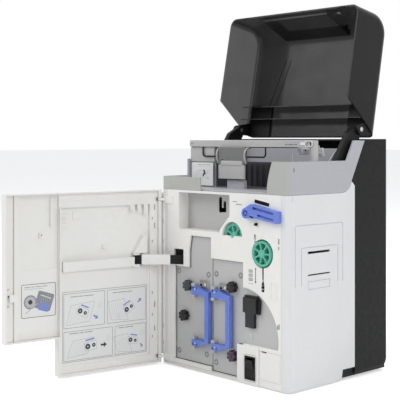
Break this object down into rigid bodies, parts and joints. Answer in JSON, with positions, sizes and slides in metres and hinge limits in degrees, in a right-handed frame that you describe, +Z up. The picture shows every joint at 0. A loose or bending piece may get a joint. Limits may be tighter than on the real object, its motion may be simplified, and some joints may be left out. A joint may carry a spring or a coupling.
{
  "type": "id card printer",
  "caption": "Desktop ID card printer with a smoked top hood, a swing-out front door, pull-out film and ribbon cassettes and thumb-turned feed wheels.",
  "frame": {"origin": "middle of the base, on the desk", "axes": "+X to the right side, -Y to the front, +Z up"},
  "size_m": [0.3707, 0.5735, 0.648],
  "materials": {
    "side_white": "lightly textured white plastic",
    "trim_grey": "cool light grey plastic",
    "black_plastic": "textured black plastic",
    "cream": "warm white plastic",
    "plate_grey": "smooth light grey",
    "hopper_grey": "light grey plastic",
    "flap_grey": "mid grey plastic",
    "dark_grey": "dark grey plastic",
    "smoke": "smoked translucent plastic",
    "blue": "cornflower blue plastic",
    "teal": "teal green plastic",
    "purple": "dark purple plastic",
    "knob_grey": "grey plastic",
    "knob_black": "black plastic",
    "steel": "zinc plated steel",
    "roll_dark": "dark wound film",
    "rubber_black": "black rubber",
    "board_green": "green circuit board"
  },
  "bodies": {
    "base": {"base_pan": "black_plastic", "feet": "rubber_black", "rear_cover": "black_plastic", "right_side_panel": "side_white", "left_side_panel": "side_white", "right_trim": "trim_grey", "left_trim": "trim_grey", "front_fascia": "cream", "window_plate": "plate_grey", "lever_plate": "plate_grey", "chassis_wall": "steel", "cassette_rails": "dark_grey", "upper_deck": "trim_grey", "hopper_front": "hopper_grey", "card_hopper": "dark_grey", "upper_liner": "trim_grey", "hopper_bar": "hopper_grey", "hopper_bail": "black_plastic", "hopper_cover": "flap_grey", "card_support": "trim_grey", "hinge_bracket_left": "black_plastic", "hinge_bracket_right": "black_plastic", "hinge_pins": "steel", "door_hinges": "cream", "switch_housing": "black_plastic", "power_supply": "steel", "main_board": "board_green", "board_standoffs": "steel", "rear_inlet": "black_plastic", "port_panel": "black_plastic", "feed_motor": "dark_grey", "print_head": "dark_grey"},
    "hood": {"hood_shell": "smoke", "hood_arm_left": "black_plastic", "hood_arm_right": "black_plastic"},
    "door": {"door_shell": "cream", "door_liner": "cream", "stay_pin": "steel"},
    "stay": {"door_stay": "black_plastic"},
    "hopper_flap": {"hopper_flap": "hopper_grey"},
    "upper_feed_wheel": {"upper_wheel": "teal", "upper_roller": "rubber_black"},
    "lower_feed_wheel": {"lower_wheel": "teal", "lower_roller": "rubber_black"},
    "locking_lever": {"locking_lever": "blue"},
    "paddle_lever": {"paddle_lever": "knob_black"},
    "rocker": {"power_rocker": "black_plastic"},
    "access_flap": {"access_flap": "cream"},
    "film_cassette": {"film_frame": "plate_grey"},
    "film_handle": {"film_handle": "blue"},
    "film_supply_spool": {"film_supply_roll": "roll_dark", "film_supply_knob": "knob_grey"},
    "film_takeup_spool": {"film_takeup_roll": "roll_dark", "film_takeup_knob": "knob_black"},
    "ribbon_cassette": {"ribbon_frame": "plate_grey"},
    "ribbon_handle": {"ribbon_handle": "blue"},
    "ribbon_supply_spool": {"ribbon_supply_roll": "roll_dark", "ribbon_supply_knob": "knob_black"},
    "ribbon_takeup_spool": {"ribbon_takeup_roll": "roll_dark", "ribbon_takeup_knob": "purple"}
  },
  "joints": [
    {"name": "hood_hinge", "type": "hinge", "parent": "base", "child": "hood", "pos_m": [0, 0.06, 0.43], "axis": [1, 0, 0], "range_deg": [0, 101]},
    {"name": "door_hinge", "type": "hinge", "parent": "base", "child": "door", "pos_m": [-0.1545, -0.1395, 0], "axis": [0, 0, 1], "range_deg": [0, 98]},
    {"name": "door_stay_pivot", "type": "hinge", "parent": "door", "child": "stay", "pos_m": [-0.16472, -0.18704, 0.1945], "axis": [0, 0, 1], "range_deg": [-30.6, 0]},
    {"name": "hopper_flap_hinge", "type": "hinge", "parent": "base", "child": "hopper_flap", "pos_m": [-0.045, -0.071, 0.3715], "axis": [1, 0, 0], "range_deg": [-75, 0]},
    {"name": "upper_wheel_spin", "type": "hinge", "parent": "base", "child": "upper_feed_wheel", "pos_m": [0.0275, -0.124, 0.2475], "axis": [0, 1, 0], "continuous": true},
    {"name": "lower_wheel_spin", "type": "hinge", "parent": "base", "child": "lower_feed_wheel", "pos_m": [0.099, -0.129, 0.223], "axis": [0, 1, 0], "continuous": true},
    {"name": "locking_lever_turn", "type": "hinge", "parent": "base", "child": "locking_lever", "pos_m": [0.068, -0.136, 0.289], "axis": [0, 1, 0], "range_deg": [-45, 0]},
    {"name": "paddle_lever_turn", "type": "hinge", "parent": "base", "child": "paddle_lever", "pos_m": [0.071, -0.131, 0.104], "axis": [0, -1, 0], "range_deg": [-80, 0]},
    {"name": "power_rocker_tilt", "type": "hinge", "parent": "base", "child": "rocker", "pos_m": [0.073, -0.1315, 0.03], "axis": [1, 0, 0], "range_deg": [-16, 0]},
    {"name": "access_flap_hinge", "type": "hinge", "parent": "base", "child": "access_flap", "pos_m": [0.1371, -0.1305, 0.038], "axis": [0, 0, -1], "range_deg": [-100, 0]},
    {"name": "film_cassette_slide", "type": "slide", "parent": "base", "child": "film_cassette", "axis": [0, 1, 0], "range_m": [-0.12, 0]},
    {"name": "ribbon_cassette_slide", "type": "slide", "parent": "base", "child": "ribbon_cassette", "axis": [0, 1, 0], "range_m": [-0.12, 0]},
    {"name": "film_handle_fold", "type": "hinge", "parent": "film_cassette", "child": "film_handle", "pos_m": [-0.068, -0.1325, 0.099], "axis": [0, 0, 1], "range_deg": [-90, 0]},
    {"name": "ribbon_handle_fold", "type": "hinge", "parent": "ribbon_cassette", "child": "ribbon_handle", "pos_m": [-0.0175, -0.1325, 0.099], "axis": [0, 0, 1], "range_deg": [-90, 0]},
    {"name": "film_supply_spin", "type": "hinge", "parent": "film_cassette", "child": "film_supply_spool", "pos_m": [-0.0845, -0.127, 0.151], "axis": [0, 1, 0], "continuous": true},
    {"name": "film_takeup_spin", "type": "hinge", "parent": "film_cassette", "child": "film_takeup_spool", "pos_m": [-0.095, -0.127, 0.096], "axis": [0, 1, 0], "continuous": true},
    {"name": "ribbon_supply_spin", "type": "hinge", "parent": "ribbon_cassette", "child": "ribbon_supply_spool", "pos_m": [0.028, -0.127, 0.16], "axis": [0, 1, 0], "continuous": true},
    {"name": "ribbon_takeup_spin", "type": "hinge", "parent": "ribbon_cassette", "child": "ribbon_takeup_spool", "pos_m": [0.029, -0.127, 0.043], "axis": [0, 1, 0], "continuous": true}
  ],
  "couplings": [
    {"joint": "door_stay_pivot", "follows": "door_hinge", "ratio": -0.311}
  ]
}
